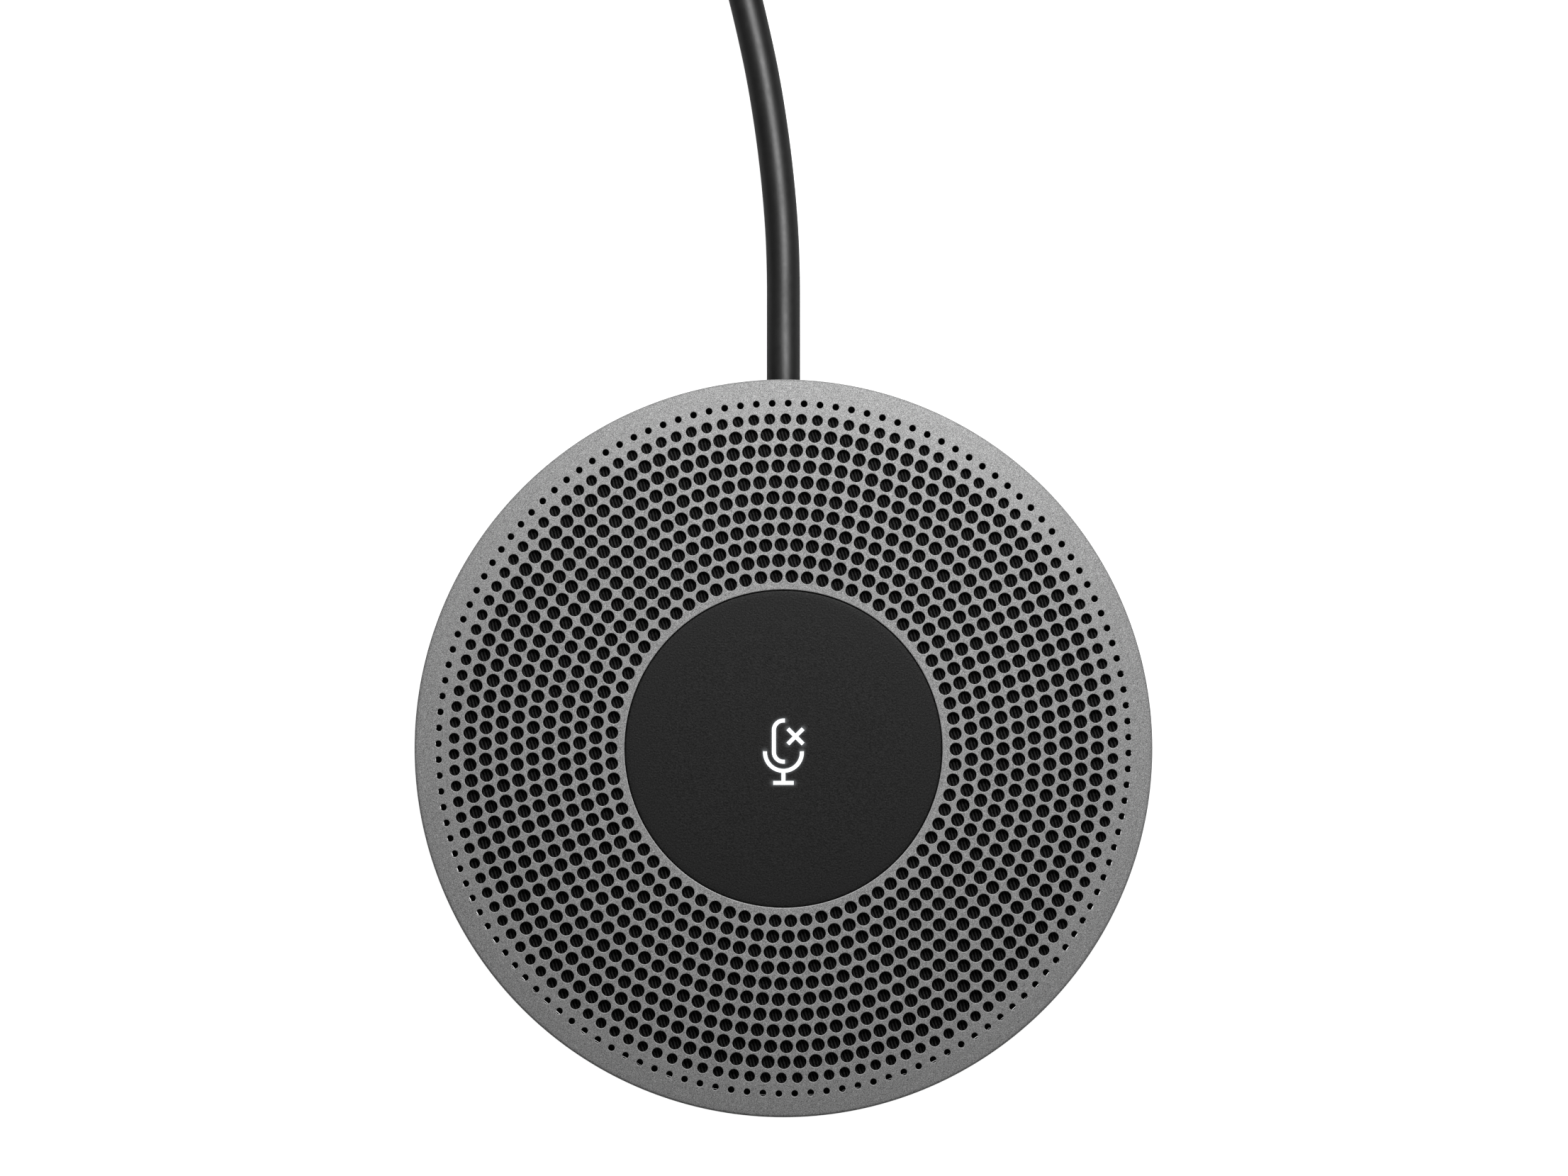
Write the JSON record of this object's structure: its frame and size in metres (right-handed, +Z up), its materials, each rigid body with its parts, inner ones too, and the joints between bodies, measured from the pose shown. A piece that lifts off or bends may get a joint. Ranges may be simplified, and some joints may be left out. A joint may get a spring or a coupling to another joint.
{
  "type": "conference speakerphone",
  "caption": "Low round table speakerphone: perforated satin metal cover, large central lit mute key, black base with a rubber foot ring, and a slim captive lead with its plug.",
  "frame": {"origin": "middle of the round housing, on the surface that it stands on", "axes": "+Z up, through the middle of the key; +Y the way the lead leaves; +X to the right seen from above with +Y away"},
  "size_m": [0.0926, 0.1988, 0.021],
  "materials": {
    "satin_cover": "fine speckled silver-grey metallic, satin",
    "black_plastic": "fine moulded grain",
    "plug_plastic": "smooth satin moulding",
    "soft_touch_key": "dark grey soft-touch coat with a very fine leather grain",
    "lit_sign": "translucent white, lit from below",
    "acoustic_cloth": "black woven acoustic cloth",
    "foot_rubber": "matt",
    "soft_rubber": "matt",
    "silicone": "translucent grey, matt",
    "gasket_foam": "closed-cell foam",
    "cord_jacket": "smooth black satin jacket",
    "tie_strap": "black woven strap",
    "thin_lead": "thin insulated lead",
    "ballast_steel": "zinc plated",
    "plain_steel": "bright",
    "black_steel": "black coated",
    "magnet_metal": "plated magnet",
    "copper_winding": "enamelled copper wire",
    "cone_paper": "coated paper",
    "circuit_board": "green solder mask",
    "chip_resin": "moulded resin",
    "bright_can": "drawn can",
    "ivory_plastic": "ivory nylon",
    "flex_film": "amber polyimide film",
    "plug_metal": "nickel plated"
  },
  "bodies": {
    "housing": {"base": "black_plastic", "foot_ring": "foot_rubber", "ballast_ring": "ballast_steel", "inner_chassis": "black_plastic", "acoustic_cloth": "acoustic_cloth", "top_cover": "satin_cover", "base_screw_1": "black_steel", "base_screw_2": "black_steel", "base_screw_3": "black_steel", "board_screw_1": "plain_steel", "board_screw_2": "plain_steel", "board_screw_3": "plain_steel", "driver_frame": "black_steel", "driver_yoke": "plain_steel", "driver_magnet": "magnet_metal", "driver_top_plate": "plain_steel", "driver_surround": "soft_rubber", "driver_gasket": "gasket_foam", "main_board": "circuit_board", "processor_chip": "chip_resin", "codec_chip": "chip_resin", "amplifier_chip": "chip_resin", "crystal_can": "bright_can", "capacitor_1": "bright_can", "capacitor_2": "bright_can", "power_inductor": "chip_resin", "cable_header": "ivory_plastic", "speaker_header": "ivory_plastic", "speaker_lead": "thin_lead", "board_flex": "flex_film", "mic_boot_1": "soft_rubber", "mic_capsule_1": "bright_can", "mic_lead_1": "thin_lead", "mic_boot_2": "soft_rubber", "mic_capsule_2": "bright_can", "mic_lead_2": "thin_lead", "mic_boot_3": "soft_rubber", "mic_capsule_3": "bright_can", "mic_lead_3": "thin_lead", "key_return_ring": "silicone", "key_board": "circuit_board", "switch_body": "black_steel", "led_1": "lit_sign", "led_2": "lit_sign", "strain_relief": "cord_jacket", "cable_clamp": "black_plastic", "cable_tail": "cord_jacket", "cable_run": "cord_jacket", "cable_coil": "cord_jacket", "cable_end": "cord_jacket", "coil_tie": "tie_strap", "plug_relief": "cord_jacket", "plug_body": "plug_plastic", "plug_shell": "plug_metal", "plug_tongue": "ivory_plastic"},
    "key": {"mute_key": "soft_touch_key", "key_light_guide": "lit_sign"},
    "switch_stem": {"switch_plunger": "ivory_plastic"},
    "cone": {"driver_cone": "cone_paper", "driver_coil": "copper_winding"}
  },
  "joints": [
    {"name": "mute_key_press", "type": "slide", "parent": "housing", "child": "key", "axis": [0, 0, -1], "range_m": [0, 0.0006], "stiffness_N_per_m": 1800, "deforming": ["key_return_ring"]},
    {"name": "switch_stem_press", "type": "slide", "parent": "housing", "child": "switch_stem", "axis": [0, 0, -1], "range_m": [0, 0.0006]},
    {"name": "cone_excursion", "type": "slide", "parent": "housing", "child": "cone", "axis": [0, 0, 1], "range_m": [-0.0004, 0.0004], "stiffness_N_per_m": 900, "deforming": ["driver_surround"]}
  ],
  "couplings": [
    {"joint": "switch_stem_press", "follows": "mute_key_press", "ratio": 1}
  ]
}
